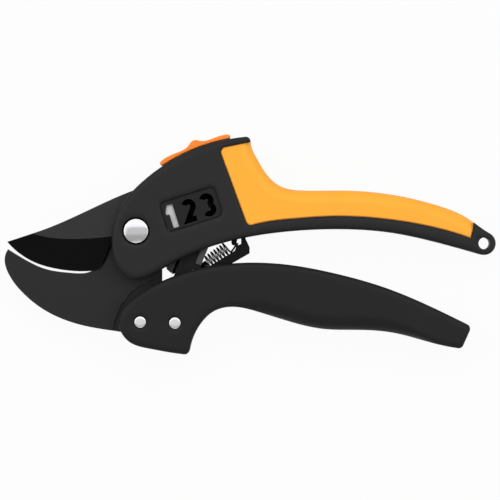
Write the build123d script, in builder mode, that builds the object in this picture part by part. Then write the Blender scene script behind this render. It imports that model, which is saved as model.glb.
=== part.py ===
from build123d import *
import math
import os

os.makedirs("parts", exist_ok=True)

# Pruning shears with a three-step lever, lying on their rear side. X runs from the blade to the
# tail, Y from the lower handle to the upper one and Z through the thickness. The pivot bolt's
# axis is X = Y = 0 and the rear cheeks lie on Z = 0. All sizes are in millimetres.

# Thickness, from the rear cheek to the front one
body_thickness = 20.0
rear_cheek = 5.6
bay_width = 9.2
washer_thickness = 0.55
jaw_thickness = 3.7
jaw_tail_thickness = 2.2
blade_thickness = 3.2
blade_edge_thickness = 0.35
link_thickness = 3.6

# Clearances
slide_gap = 0.08
running_gap = 0.04
seat_gap = 0.05
free_gap = 0.5
notch_slack = 0.95

# Pivots and pins, as places in X and Y with their radii
jaw_rivet_x = 1.8
jaw_rivet_y = -38.3
link_rivet_x = 16.4
link_rivet_y = -38.7
notch_pin_x = 31.2
notch_pin_y = -2.1
pivot_radius = 3.5
pivot_bush_wall = 1.25
rivet_radius = 1.9
rivet_head_radius = 2.6
rivet_head_depth = 1.2
link_bush_wall = 1.0
notch_pin_radius = 1.6
notch_pin_seat = 2.4

# Pivot bolt and nut
bolt_head_radius = 5.35
bolt_ring_radius = 5.8
bolt_ring_depth = 1.5
bolt_rim_height = 0.7
bolt_dome_height = 1.0
nut_across_flats = 10.0
nut_height = 2.8
nut_pocket_depth = 3.2
washer_radius = 8.0

# Upper body: the head's top edge is one arc, which the lock slides on
top_arc_x = 53.1
top_arc_y = -35.8
top_arc_radius = 75.8
top_arc_right = 93.8
head_corner_round = 2.0
top_arc_left = 134.4
body_round = 1.8
tail_x = 146.7
tail_y = -5.2
tail_radius = 4.87
hang_hole_radius = 2.5
tail_thickness = 12.0
tail_under = -106.0
tail_over = 60.0
taper_start = 100.0
taper_end = 138.0
bay_right = 39.5
bay_roof = 22.0

# Grip cover
grip_round = 5.5
cover_top_wall = 2.5
cover_side_wall = 2.6
grip_corner_round = 2.2
seam_width = 0.35
seam_depth = 0.5
grip_rim = 2.4
grip_rim_left = 3.0
grip_span = 10.6

# Digit window and step indicator
window_x = 23.2
window_y = 9.2
window_turn = 17.6
window_length = 24.0
window_height = 12.6
window_corner = 2.2
window_depth = 1.1
window_bevel_depth = 0.6
window_bevel_slant = 60.0
window_plate = 1.0
digit_pitch = 7.9
digit_offset = -0.7
digit_drop = 0.4
digit_height = 10.0
digit_stroke = 2.4
one_flag = 1.3
one_flag_share = 0.4
bowl_start = 150.0
bowl_sweep = -240.0
hook_sweep = -195.0
indicator_length = 6.6
indicator_height = 10.6
indicator_thickness = 1.4
indicator_peg_radius = 1.0
indicator_peg_length = 2.6

# Lock slider and its catch
lock_left = 123.9
lock_right = 100.1
lock_ridge = 111.4
lock_crest = 0.9
lock_thickness = 1.9
lock_ridge_height = 1.7
lock_width = 12.0
lock_travel = 3.8
lock_gap = 0.3
lock_ramp = 2.2
lock_end_round = 0.7
lock_side_round = 0.5
catch_thickness = 3.2
catch_width = 3.0
catch_reach = 14.0
catch_angle = 52.0
catch_stem_right = 113.0
catch_stem_left = 118.0
catch_grip = 1.2
catch_elbow = 69.0
catch_arm = 8.0
catch_depth = 5.0
slot_end_gap = 0.5
catch_slot_floor = 64.0
jaw_open_angle = 28.0

# Blade and jaw
dowel_x = 6.0
dowel_y = 14.0
dowel_radius = 1.5
dowel_seat = 3.0
jaw_disc_radius = 13.0
jaw_tail_radius = 6.5
jaw_disc_right = -33.8
jaw_disc_left = 190.0

# Ratchet link
link_eye_radius = 6.0
notch_count = 3
notch_pitch = 6.4
link_tip_length = 4.0
link_neck = 15.0
link_front_edge = 1.0
link_back_edge = 8.0
spacer_radius = 4.5

# Return spring, its lug and guard
spring_wire = 0.8
spring_outside = 5.6
spring_pitch = 1.53
spring_turns = 7
spring_hook_x = 23.9
spring_hook_y = -17.2
spring_lug_x = 41.2
spring_lug_y = -5.0
spring_lug_radius = 1.1
spring_lug_thickness = 3.0
spring_start = 6.9
spring_turn_out = 1.7
hook_pin_radius = 0.9
hook_gap = 0.15
spring_lug_height = 6.0
guard_wall = 0.8
guard_gap = 0.5
guard_corner_round = 0.5
guard_edge_round = 0.4
shield_thickness = 0.5

# Housing screws
screw_radius = 1.2
screw_head_radius = 1.8
screw_head_height = 1.6
screw_pocket_depth = 1.8
screw_bite = 6.0
screw_slot_length = 2.4
screw_slot_width = 0.5
head_screw_inset = 5.75
head_screw_angle = 106.7

# Lower handle
handle_round = 1.8
handle_corner_round = 2.2
handle_end_thickness = 14.0
finger_round = 7.4
finger_inset = 7.2


def polar(centre, radius, angle):
    """The point at a radius and an angle in degrees about a centre."""
    turn = math.radians(angle)
    return centre + Vector(radius * math.cos(turn), radius * math.sin(turn))


# Levels worked out from the stack
middle = body_thickness / 2
bay_front = rear_cheek + bay_width
jaw_rear = rear_cheek + washer_thickness + slide_gap
jaw_front = jaw_rear + jaw_thickness
blade_rear = jaw_front + slide_gap
blade_front = blade_rear + blade_thickness
jaw_tail_front = jaw_rear + jaw_tail_thickness
link_middle = jaw_tail_front + 3 * slide_gap + link_thickness / 2
link_rear = link_middle - link_thickness / 2
link_front = link_middle + link_thickness / 2
window_face = body_thickness - window_depth
indicator_front = window_face - window_plate - slide_gap
indicator_rear = indicator_front - indicator_thickness

pivot = Vector(0, 0)
jaw_rivet = Vector(jaw_rivet_x, jaw_rivet_y)
link_rivet = Vector(link_rivet_x, link_rivet_y)
notch_pin_place = Vector(notch_pin_x, notch_pin_y)
tail = Vector(tail_x, tail_y)
top_arc = Vector(top_arc_x, top_arc_y)
slab_reach = 2 * tail_x
head_screw = polar(top_arc, top_arc_radius - head_screw_inset, head_screw_angle)
screw_places = [head_screw, (66.0, 2.9), (92.0, 3.5)]

spring_level = (rear_cheek + bay_front) / 2
guard_rear = rear_cheek + guard_gap
guard_front = bay_front - guard_gap
lug_rear = spring_level - spring_lug_thickness / 2
catch_rear = jaw_rear + (jaw_thickness - catch_thickness) / 2
dowel_front = blade_front + dowel_seat
notch_pin_rear = rear_cheek - notch_pin_seat
notch_pin_front = bay_front + notch_pin_seat
dowel_place = Vector(dowel_x, dowel_y)
spring_hook = Vector(spring_hook_x, spring_hook_y, spring_level)
spring_lug_place = Vector(spring_lug_x, spring_lug_y, spring_level)
window_plane = Plane((window_x, window_y, 0), x_dir=Vector(1, 0).rotate(Axis.Z, window_turn))
indicator_sweep = 2 * digit_pitch + indicator_length
catch_tip = polar(pivot, catch_reach, catch_angle)
catch_way = math.degrees(math.atan2(catch_tip.Y - top_arc.Y, catch_tip.X - top_arc.X)) + 90
catch_slot_right = catch_stem_right - slot_end_gap
catch_slot_left = catch_stem_left + lock_travel + slot_end_gap

# Points of the outlines, in order round each piece
body_under_points = [
    (-8.1, 7.1),
    (-10.2, -4.5),
    (-6.5, -16.8),
    (-0.1, -20.3),
    (5.2, -18.9),
    (17.7, -12.2),
    (35.4, -5.3),
    (58.0, -0.8),
    (81.6, 0.8),
    (108.4, -0.8),
    (130.0, -5.6),
]
grip_end = (142.5, 3.6)
grip_end_under = (140.9, -2.9)
grip_corner_under = (47.0, 2.0)
grip_back_points = [(127.0, 10.9), (106.8, 15.5), (86.6, 17.1)]
grip_saddle = Vector(70.0, 17.1)
grip_under_points = [(56.4, 4.2), (69.0, 5.5), (82.5, 6.3), (96.7, 5.9), (111.8, 4.2), (126.9, 1.3)]
grip_top = polar(top_arc, top_arc_radius - grip_rim, top_arc_right)
grip_corner_top = polar(top_arc, top_arc_radius - grip_rim_left, top_arc_right + grip_span)
grip_neck = grip_top - grip_saddle
grip_neck_points = [
    grip_saddle + Vector(grip_neck.X * along, grip_neck.Y * up)
    for along, up in ((0.394, 0.075), (0.688, 0.333), (0.872, 0.652))
]
blade_back_points = [(-28.5, 5.0), (-15.9, 10.9)]
blade_throat_points = [(-10.6, -5.8), (-12.6, -11.4)]
blade_edge_points = [(-23.4, -17.0), (-33.5, -16.0), (-43.6, -13.0), (-48.6, -10.1)]
bevel_points = [(-16.0, -2.8), (-25.2, -3.3), (-35.2, -2.9)]
jaw_inner_points = [(-14.6, -12.0), (-18.8, -16.7), (-28.5, -17.6), (-38.6, -16.0), (-48.6, -11.3)]
jaw_outer_points = [
    (-55.8, -11.6),
    (-53.7, -18.9),
    (-48.6, -25.6),
    (-38.6, -33.6),
    (-28.5, -38.2),
    (-18.4, -40.8),
    (-8.3, -42.4),
]
handle_under_points = [
    (23.9, -45.1),
    (27.1, -39.2),
    (32.5, -33.9),
    (39.9, -31.9),
    (51.3, -34.0),
    (64.8, -38.2),
    (78.2, -41.2),
    (95.0, -41.7),
    (108.4, -42.9),
    (122.0, -46.4),
]
handle_over_points = [
    (125.2, -32.3),
    (105.1, -23.9),
    (84.9, -18.1),
    (64.8, -14.3),
    (50.0, -13.3),
    (36.8, -14.0),
    (24.4, -16.2),
    (14.8, -19.4),
    (5.7, -23.7),
    (-1.8, -28.8),
    (-6.6, -34.5),
    (-7.0, -40.5),
    (-2.6, -46.8),
    (5.7, -49.5),
    (13.7, -51.0),
]

# Corners of the flat-sided seats and channels, and the points that the outlines share
below = -30.0
before = -30.0
jaw_bay = [(before, 14.6), (6.0, 14.6), (13.9, 10.0), (16.0, below), (before, below)]
link_bay = [(14.0, below), (14.0, 6.0), (19.5, bay_roof), (bay_right, bay_roof), (bay_right, below)]
front_bay = [(20.6, below), (20.6, bay_roof), (bay_right, bay_roof), (bay_right, below)]
catch_bay = [(2.0, 9.0), (3.0, 13.5), (12.0, 22.5), (16.5, 27.0), (29.0, 28.2), (30.0, 20.0), (14.0, 6.0)]
blade_seat = [
    (before, 9.0),
    (0.0, 18.0),
    (4.0, 18.8),
    (15.6, 18.8),
    (20.6, 14.1),
    (20.6, below),
    (before, below),
]
blade_tip = Vector(-54.7, -4.5)
bevel_start = Vector(-43.6, -0.9)
blade_shoulder = Vector(2.5, 18.5)
blade_tang = [
    Vector(15.4, 18.6),
    Vector(19.0, 14.0),
    Vector(19.0, 2.0),
    Vector(17.4, -11.4),
    Vector(14.8, -17.8),
    Vector(12.9, -16.2),
    Vector(11.6, -11.6),
    Vector(5.0, -10.2),
    Vector(-5.5, -9.0),
    Vector(-9.3, -1.9),
]
blade_heel = Vector(-16.0, -16.5)
bevel_tip = Vector(-43.8, -0.98)
bevel_heel = Vector(-9.5, -2.0)
jaw_tip = Vector(-54.4, -7.7)
jaw_back_low = Vector(10.8, -26.0)
jaw_step_points = [(-9.8, -50.0), (-9.3, -37.0), (-6.6, -31.1), (-1.8, -25.2), (4.6, -21.0), (14.0, -16.0)]
jaw_step_corner = (40.0, -50.0)
handle_heel = (22.3, -52.2)
handle_end_under = (137.2, -49.6)
handle_end_over = (141.4, -40.2)
handle_slot = [
    (before, -10.0),
    (before, -60.0),
    (9.5, -60.0),
    (10.3, -46.2),
    (24.0, -46.2),
    (24.2, -36.0),
    (26.8, -27.0),
    (36.0, -21.5),
    (47.0, -17.8),
    (52.5, -8.0),
]
guard_corners = [
    (28.6, -16.2),
    (41.6, -8.2),
    (42.2, -6.3),
    (44.2, -5.4),
    (44.2, 1.2),
    (46.2, 1.2),
    (46.1, -3.2),
    (47.8, -6.8),
    (47.8, -9.4),
    (40.8, -13.4),
    (31.0, -19.2),
]
gap_shield = [(15.0, -18.3), (17.8, -17.2), (21.5, -8.5), (13.4, -8.5)]
finger_line = [
    (33.0, -42.5),
    (39.0, -36.5),
    (46.5, -34.8),
    (55.5, -35.6),
    (64.8, -38.2),
    (78.2, -41.2),
    (95.0, -41.7),
    (108.4, -42.9),
    (122.0, -46.4),
    (131.0, -50.8),
    (142.0, -58.0),
]
guard_channel = [(20.0, -5.0), (20.0, -30.0), (34.8, -30.0), (34.8, -16.0), (44.3, -10.45), (44.3, -5.0)]


def side_profile(end_thickness, inset):
    """A slab in side view: full thickness along the head, eased to a thinner end, less an inset."""
    drop = (body_thickness - end_thickness) / 2
    half_way = (taper_start + taper_end) / 2
    slope = 2 * math.atan2(drop, taper_end - taper_start)
    with BuildPart() as slab:
        with BuildSketch(Plane.XZ):
            for face_level, inward in ((inset, 1), (body_thickness - inset, -1)):
                rise = inward * drop
                joint = (half_way, face_level + rise / 2)
                with BuildLine():
                    Line((-slab_reach, middle), (-slab_reach, face_level))
                    Line((-slab_reach, face_level), (taper_start, face_level))
                    TangentArc((taper_start, face_level), joint, tangent=(1, 0))
                    TangentArc(
                        joint,
                        (taper_end, face_level + rise),
                        tangent=(math.cos(slope), inward * math.sin(slope)),
                    )
                    Line((taper_end, face_level + rise), (slab_reach, face_level + rise))
                    Line((slab_reach, face_level + rise), (slab_reach, middle))
                    Line((slab_reach, middle), (-slab_reach, middle))
                make_face()
        extrude(amount=slab_reach, both=True)
    return slab.part


def edges_along(part, curves):
    """The edges of a part that run in front of or behind plane curves, not through the thickness."""
    chosen = ShapeList()
    for edge in part.edges():
        spot = edge @ 0.5
        level = abs((edge % 0.5).Z) < 0.5
        if level and any(curve.distance_to(Vector(spot.X, spot.Y)) < seat_gap for curve in curves):
            chosen.append(edge)
    return chosen


# Outline of the upper body: head arc, front lobe, underside, round tail and grip
with BuildSketch() as body_outline:
    with BuildLine():
        head_edge = CenterArc(top_arc, top_arc_radius, top_arc_right, top_arc_left - top_arc_right)
        tail_edge = CenterArc(tail, tail_radius, tail_under, tail_over - tail_under)
        under_edge = Spline(
            head_edge @ 1,
            *body_under_points,
            tail_edge @ 0,
            tangents=(head_edge % 1, tail_edge % 0),
            tangent_scalars=(1, 1),
        )
        tail_rise = TangentArc(tail_edge @ 1, grip_end, tangent=tail_edge % 1)
        grip_edge = Spline(
            tail_rise @ 1,
            *grip_back_points,
            grip_saddle,
            *grip_neck_points,
            grip_top,
            tangents=(tail_rise % 1, (head_edge @ 0 - grip_top).normalized()),
            tangent_scalars=(1, 1),
        )
        Line(grip_edge @ 1, head_edge @ 0)
    make_face()
    fillet(body_outline.vertices().sort_by_distance(head_edge @ 0)[0], radius=head_corner_round)

# Outline of the grip cover, which shares the body's upper edge
with BuildSketch() as grip_outline:
    with BuildLine():
        add(grip_edge)
        Line(grip_top, grip_corner_top)
        Line(grip_corner_top, grip_corner_under)
        Spline(grip_corner_under, *grip_under_points, grip_end_under)
        Line(grip_end_under, grip_end)
    make_face()
    fillet(grip_outline.vertices().sort_by(Axis.X)[:2], radius=grip_corner_round)
grip_seam = [edge for edge in grip_outline.edges() if grip_edge.distance_to(edge @ 0.5) > seat_gap]

full_slab = side_profile(tail_thickness, 0.0)
core_slab = side_profile(tail_thickness, cover_side_wall)
seam_slab = side_profile(tail_thickness, seam_depth)
handle_slab = side_profile(handle_end_thickness, 0.0)

# The cover meets the body in a shallow groove
with BuildPart() as seam_groove:
    with BuildSketch():
        for edge in grip_seam:
            trace(edge, line_width=2 * seam_width)
    extrude(amount=body_thickness)
    add(seam_slab, mode=Mode.SUBTRACT)

with BuildPart() as grip_core:
    with BuildSketch():
        with Locations((-cover_top_wall, -cover_top_wall)):
            add(grip_outline.sketch)
    extrude(amount=body_thickness)
    add(core_slab, mode=Mode.INTERSECT)

with BuildPart() as grip_cover:
    with BuildSketch():
        add(grip_outline.sketch)
    extrude(amount=body_thickness)
    add(full_slab, mode=Mode.INTERSECT)
    fillet(edges_along(grip_cover, [grip_edge]), radius=grip_round)
    add(grip_core.part, mode=Mode.SUBTRACT)
    add(seam_groove.part, mode=Mode.SUBTRACT)
grip_cover.part.label = "grip_cover"
export_step(grip_cover.part, "parts/grip_cover.step")

# The lug that the spring hooks on hangs from the body into the gap under it
with BuildSketch() as lug_outline:
    with BuildLine():
        Polyline(
            (spring_lug_x - spring_lug_radius, spring_lug_y),
            (spring_lug_x + spring_lug_radius, spring_lug_y),
            (spring_lug_x + 2 * spring_lug_radius, spring_lug_y + spring_lug_height),
            (spring_lug_x - spring_lug_radius, spring_lug_y + spring_lug_height),
            close=True,
        )
    make_face()
    with Locations(spring_lug_place):
        Circle(spring_lug_radius)

with BuildPart() as spring_lug:
    with BuildSketch(Plane.XY.offset(lug_rear)):
        add(lug_outline.sketch)
    extrude(amount=spring_lug_thickness)
spring_lug.part.label = "spring_lug"
export_step(spring_lug.part, "parts/spring_lug.step")

# The guard is a channel under the spring with an upturned end held in the body
with BuildSketch() as guard_outline:
    with BuildLine():
        Polyline(guard_corners, close=True)
    make_face()
    fillet(guard_outline.vertices(), radius=guard_corner_round)

with BuildPart() as spring_guard:
    with BuildSketch(Plane.XY.offset(guard_rear)):
        add(guard_outline.sketch)
    extrude(amount=guard_front - guard_rear)
    with BuildSketch(Plane.XY.offset(guard_rear + guard_wall)):
        with BuildLine():
            Polyline(guard_channel, close=True)
        make_face()
    extrude(amount=guard_front - guard_rear - 2 * guard_wall, mode=Mode.SUBTRACT)
    guard_faces = spring_guard.edges().filter_by_position(Axis.Z, guard_front, guard_front)
    guard_faces += spring_guard.edges().filter_by_position(Axis.Z, guard_rear, guard_rear)
    fillet(guard_faces, radius=guard_edge_round)
spring_guard.part.label = "spring_guard"
export_step(spring_guard.part, "parts/spring_guard.step")

# Upper body before it is split: outer form, grip recess and the seats that both halves share
with BuildPart() as body_blank:
    with BuildSketch():
        add(body_outline.sketch)
    extrude(amount=body_thickness)
    add(full_slab, mode=Mode.INTERSECT)
    fillet(edges_along(body_blank, body_outline.edges()), radius=body_round)
    with BuildSketch():
        add(grip_outline.sketch)
    extrude(amount=body_thickness, mode=Mode.SUBTRACT)
    add(grip_core.part)
    with BuildSketch():
        with Locations(tail):
            Circle(hang_hole_radius)
        with Locations(pivot):
            Circle(pivot_radius + seat_gap)
    extrude(amount=body_thickness, mode=Mode.SUBTRACT)
    with BuildSketch(Plane.XY.offset(notch_pin_rear)):
        with Locations(notch_pin_place):
            Circle(notch_pin_radius + seat_gap)
    extrude(amount=notch_pin_front - notch_pin_rear, mode=Mode.SUBTRACT)
    with BuildSketch(Plane.XY.offset(blade_rear)):
        with Locations(dowel_place):
            Circle(dowel_radius + seat_gap)
    extrude(amount=dowel_front - blade_rear, mode=Mode.SUBTRACT)
    with BuildSketch(Plane.XY.offset(guard_rear)):
        add(guard_outline.sketch)
    extrude(amount=guard_front - guard_rear, mode=Mode.SUBTRACT)
    with BuildSketch(Plane.XY.offset(lug_rear)):
        add(lug_outline.sketch)
    extrude(amount=spring_lug_thickness, mode=Mode.SUBTRACT)
    with BuildSketch(Plane.XY.offset(catch_rear - slide_gap)):
        with BuildLine():
            slot_sweep = catch_slot_left - catch_slot_right
            slot_top = CenterArc(top_arc, top_arc_radius + body_round, catch_slot_right, slot_sweep)
            slot_floor = CenterArc(top_arc, catch_slot_floor, catch_slot_right, slot_sweep)
            Line(slot_floor @ 0, slot_top @ 0)
            Line(slot_floor @ 1, slot_top @ 1)
        make_face()
    extrude(amount=catch_thickness + 2 * slide_gap, mode=Mode.SUBTRACT)

with BuildPart() as rear_housing:
    add(body_blank.part)
    split(bisect_by=Plane.XY.offset(middle), keep=Keep.BOTTOM)
    with BuildSketch(Plane.XY.offset(rear_cheek)):
        with BuildLine():
            Polyline(jaw_bay, close=True)
        make_face()
        with BuildLine():
            Polyline(link_bay, close=True)
        make_face()
    extrude(amount=body_thickness, mode=Mode.SUBTRACT)
    with BuildSketch(Plane.XY.offset(catch_rear - slide_gap)):
        with BuildLine():
            Polyline(catch_bay, close=True)
        make_face()
    extrude(amount=body_thickness, mode=Mode.SUBTRACT)
    with BuildSketch():
        RegularPolygon(nut_across_flats / 2 + seat_gap, 6, major_radius=False)
    extrude(amount=nut_pocket_depth, mode=Mode.SUBTRACT)
    with BuildSketch():
        with Locations(screw_places):
            Circle(screw_head_radius + seat_gap)
    extrude(amount=screw_pocket_depth, mode=Mode.SUBTRACT)
    with BuildSketch():
        with Locations(screw_places):
            Circle(screw_radius + seat_gap)
    extrude(amount=middle, mode=Mode.SUBTRACT)
    # a thin tongue closes the slit between the blade's tang and the link
    with BuildSketch(Plane.XY.offset(rear_cheek)):
        with BuildLine():
            Polyline(gap_shield, close=True)
        make_face()
    extrude(amount=shield_thickness)
rear_housing.part.label = "rear_housing"
export_step(rear_housing.part, "parts/rear_housing.step")

with BuildPart() as front_housing:
    add(body_blank.part)
    split(bisect_by=Plane.XY.offset(middle), keep=Keep.TOP)
    with BuildSketch(Plane.XY.offset(middle)):
        with BuildLine():
            Polyline(blade_seat, close=True)
        make_face()
    extrude(amount=blade_front - middle, mode=Mode.SUBTRACT)
    with BuildSketch(Plane.XY.offset(middle)):
        with BuildLine():
            Polyline(front_bay, close=True)
        make_face()
    extrude(amount=bay_front - middle, mode=Mode.SUBTRACT)
    with BuildSketch(Plane.XY.offset(body_thickness - bolt_ring_depth)):
        Circle(bolt_ring_radius)
    extrude(amount=bolt_ring_depth, mode=Mode.SUBTRACT)
    with BuildSketch(window_plane.offset(window_face - window_plate)):
        RectangleRounded(window_length, window_height, window_corner)
    extrude(amount=body_thickness, mode=Mode.SUBTRACT)
    with BuildSketch(window_plane.offset(body_thickness - window_bevel_depth)):
        RectangleRounded(window_length, window_height, window_corner)
    extrude(amount=window_bevel_depth, taper=-window_bevel_slant, mode=Mode.SUBTRACT)
    with BuildSketch(window_plane.offset(indicator_rear - slide_gap)):
        with Locations((digit_offset, -digit_drop)):
            Rectangle(indicator_sweep + 2 * slide_gap, indicator_height + 2 * slide_gap)
    extrude(amount=body_thickness, mode=Mode.SUBTRACT)
    with BuildSketch(window_plane.offset(middle)):
        with Locations((digit_offset, -digit_drop)):
            SlotCenterToCenter(2 * digit_pitch, 2 * (indicator_peg_radius + free_gap))
    extrude(amount=body_thickness, mode=Mode.SUBTRACT)
    with BuildSketch(Plane.XY.offset(middle)):
        with Locations(screw_places):
            Circle(screw_radius)
    extrude(amount=screw_bite, mode=Mode.SUBTRACT)
front_housing.part.label = "front_housing"
export_step(front_housing.part, "parts/front_housing.step")

with BuildPart() as housing_screws:
    with BuildSketch(Plane.XY.offset(screw_pocket_depth - screw_head_height)):
        with Locations(screw_places):
            Circle(screw_head_radius)
    extrude(amount=screw_head_height)
    with BuildSketch(Plane.XY.offset(screw_pocket_depth)):
        with Locations(screw_places):
            Circle(screw_radius)
    extrude(amount=middle + screw_bite - screw_pocket_depth)
    with BuildSketch(Plane.XY.offset(screw_pocket_depth - screw_head_height)):
        with Locations(screw_places):
            Rectangle(screw_slot_length, screw_slot_width)
            Rectangle(screw_slot_width, screw_slot_length)
    extrude(amount=screw_head_height / 2, mode=Mode.SUBTRACT)
housing_screws.part.label = "housing_screws"
export_step(housing_screws.part, "parts/housing_screws.step")

# Pivot: domed bolt from the front, nut behind, thrust washer behind the jaw
with BuildPart() as pivot_bolt:
    with BuildSketch(Plane.XZ):
        with BuildLine():
            head_floor = body_thickness - bolt_ring_depth
            head_rim = head_floor + bolt_rim_height
            head_top = head_rim + bolt_dome_height
            shank_end = nut_pocket_depth - nut_height
            Polyline(
                (0, head_top),
                (0, shank_end),
                (pivot_radius, shank_end),
                (pivot_radius, head_floor),
                (bolt_head_radius, head_floor),
                (bolt_head_radius, head_rim),
            )
            TangentArc((0, head_top), (bolt_head_radius, head_rim), tangent=(1, 0))
        make_face()
    revolve(axis=Axis.Z)
pivot_bolt.part.label = "pivot_bolt"
export_step(pivot_bolt.part, "parts/pivot_bolt.step")

with BuildPart() as pivot_nut:
    with BuildSketch(Plane.XY.offset(nut_pocket_depth - nut_height)):
        RegularPolygon(nut_across_flats / 2, 6, major_radius=False)
        Circle(pivot_radius, mode=Mode.SUBTRACT)
    extrude(amount=nut_height)
pivot_nut.part.label = "pivot_nut"
export_step(pivot_nut.part, "parts/pivot_nut.step")

with BuildPart() as thrust_washer:
    with BuildSketch(Plane.XY.offset(rear_cheek)):
        Circle(washer_radius)
        Circle(pivot_radius + seat_gap, mode=Mode.SUBTRACT)
    extrude(amount=washer_thickness)
thrust_washer.part.label = "thrust_washer"
export_step(thrust_washer.part, "parts/thrust_washer.step")

with BuildPart() as notch_pin:
    with BuildSketch(Plane.XY.offset(notch_pin_rear)):
        with Locations(notch_pin_place):
            Circle(notch_pin_radius)
    extrude(amount=notch_pin_front - notch_pin_rear)
notch_pin.part.label = "notch_pin"
export_step(notch_pin.part, "parts/notch_pin.step")

# Blade: a flat plate whose front face is ground down to the curved cutting edge
with BuildSketch(Plane.XY.offset(blade_rear + blade_edge_thickness)) as blade_full:
    with BuildLine():
        Line(blade_tip, bevel_start)
        Spline(bevel_start, *blade_back_points, blade_shoulder)
        Polyline(blade_shoulder, *blade_tang)
        Spline(blade_tang[-1], *blade_throat_points, blade_heel)
        Spline(blade_heel, *blade_edge_points, blade_tip)
    make_face()

with BuildSketch(Plane.XY.offset(blade_front)) as blade_flat:
    with BuildLine():
        Line(bevel_tip, bevel_start)
        Spline(bevel_start, *blade_back_points, blade_shoulder)
        Polyline(blade_shoulder, *blade_tang)
        Line(blade_tang[-1], bevel_heel)
        Spline(bevel_heel, *bevel_points, bevel_tip)
    make_face()

with BuildPart() as cutting_blade:
    loft([blade_full.sketch.face(), blade_flat.sketch.face()], ruled=True)
    extrude(blade_full.sketch.face(), amount=-blade_edge_thickness)
    with BuildSketch(Plane.XY.offset(blade_rear)):
        with Locations(pivot):
            Circle(pivot_radius + seat_gap)
        with Locations(dowel_place):
            Circle(dowel_radius + seat_gap)
    extrude(amount=blade_thickness, mode=Mode.SUBTRACT)
cutting_blade.part.label = "cutting_blade"
export_step(cutting_blade.part, "parts/cutting_blade.step")

with BuildPart() as blade_dowel:
    with BuildSketch(Plane.XY.offset(blade_rear)):
        with Locations(dowel_place):
            Circle(dowel_radius)
    extrude(amount=dowel_front - blade_rear)
blade_dowel.part.label = "blade_dowel"
export_step(blade_dowel.part, "parts/blade_dowel.step")

# Jaw: a hooked plate that turns on the bolt, thinned where it goes into the lower handle
with BuildPart() as hook_jaw:
    with BuildSketch(Plane.XY.offset(jaw_rear)):
        with BuildLine():
            disc_sweep = jaw_disc_left - jaw_disc_right
            disc_edge = CenterArc(pivot, jaw_disc_radius, jaw_disc_right, disc_sweep)
            Spline(disc_edge @ 1, *jaw_inner_points, jaw_tip)
            eye_edge = CenterArc(jaw_rivet, jaw_tail_radius, -90, 90)
            Spline(jaw_tip, *jaw_outer_points, eye_edge @ 0)
            Line(eye_edge @ 1, jaw_back_low)
            Line(jaw_back_low, disc_edge @ 0)
        make_face()
    extrude(amount=jaw_thickness)
    with BuildSketch(Plane.XY.offset(jaw_tail_front)):
        with BuildLine():
            step_line = Spline(jaw_step_points)
            Polyline(step_line @ 1, jaw_step_corner, step_line @ 0)
        make_face()
    extrude(amount=jaw_thickness, mode=Mode.SUBTRACT)
    # two notches in the rim for the lock: shut and wide open
    with BuildSketch(Plane.XY.offset(jaw_rear)):
        for swing in (0.0, -jaw_open_angle):
            notch_place = catch_tip.rotate(Axis.Z, swing)
            with Locations(Location(notch_place, (0, 0, catch_way + swing))):
                Rectangle(2 * catch_depth, catch_width + 3 * free_gap)
    extrude(amount=jaw_thickness, mode=Mode.SUBTRACT)
    with BuildSketch(Plane.XY.offset(jaw_rear)):
        with Locations(pivot):
            Circle(pivot_radius + pivot_bush_wall)
        with Locations(jaw_rivet):
            Circle(rivet_radius + running_gap)
    extrude(amount=jaw_thickness, mode=Mode.SUBTRACT)
hook_jaw.part.label = "hook_jaw"
export_step(hook_jaw.part, "parts/hook_jaw.step")

with BuildPart() as pivot_bush:
    with BuildSketch(Plane.XY.offset(jaw_rear)):
        Circle(pivot_radius + pivot_bush_wall)
        Circle(pivot_radius + running_gap, mode=Mode.SUBTRACT)
    extrude(amount=jaw_thickness)
pivot_bush.part.label = "pivot_bush"
export_step(pivot_bush.part, "parts/pivot_bush.step")

# The underside of the lower handle is rounded for the fingers, and the rounding runs out at both ends
with BuildPart() as finger_cut:
    with BuildLine(Plane.XY.offset(body_thickness)) as finger_path:
        Spline(finger_line)
    finger_way = finger_path.line % 0
    finger_inward = finger_way.rotate(Axis.Z, 90)
    with BuildSketch(Plane(finger_path.line @ 0, x_dir=finger_inward, z_dir=finger_way)):
        with BuildLine():
            arc_end = finger_inset - finger_round
            CenterArc((finger_inset, -finger_inset), finger_round, 90, 90)
            Polyline(
                (arc_end, -finger_inset),
                (arc_end - finger_round, -finger_inset),
                (arc_end - finger_round, finger_round),
                (finger_inset, finger_round),
                (finger_inset, -arc_end),
            )
        make_face()
    sweep()
    mirror(about=Plane.XY.offset(middle))

# Lower handle: a fork round the jaw's tail and the link, solid behind them
with BuildPart() as lower_handle:
    with BuildSketch() as handle_outline:
        with BuildLine():
            Spline(handle_heel, *handle_under_points, handle_end_under)
            Line(handle_end_under, handle_end_over)
            Spline(handle_end_over, *handle_over_points, handle_heel)
        make_face()
        fillet(handle_outline.vertices(), radius=handle_corner_round)
    extrude(amount=body_thickness)
    add(handle_slab, mode=Mode.INTERSECT)
    fillet(edges_along(lower_handle, handle_outline.edges()), radius=handle_round)
    add(finger_cut.part, mode=Mode.SUBTRACT)
    with BuildSketch(Plane.XY.offset(rear_cheek)):
        with BuildLine():
            Polyline(handle_slot, close=True)
        make_face()
    extrude(amount=bay_width, mode=Mode.SUBTRACT)
    with BuildSketch():
        with Locations(jaw_rivet, link_rivet):
            Circle(rivet_radius + seat_gap)
    extrude(amount=body_thickness, mode=Mode.SUBTRACT)
    for level in (0.0, body_thickness - rivet_head_depth):
        with BuildSketch(Plane.XY.offset(level)):
            with Locations(jaw_rivet, link_rivet):
                Circle(rivet_head_radius + seat_gap)
        extrude(amount=rivet_head_depth, mode=Mode.SUBTRACT)
lower_handle.part.label = "lower_handle"
export_step(lower_handle.part, "parts/lower_handle.step")

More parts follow.
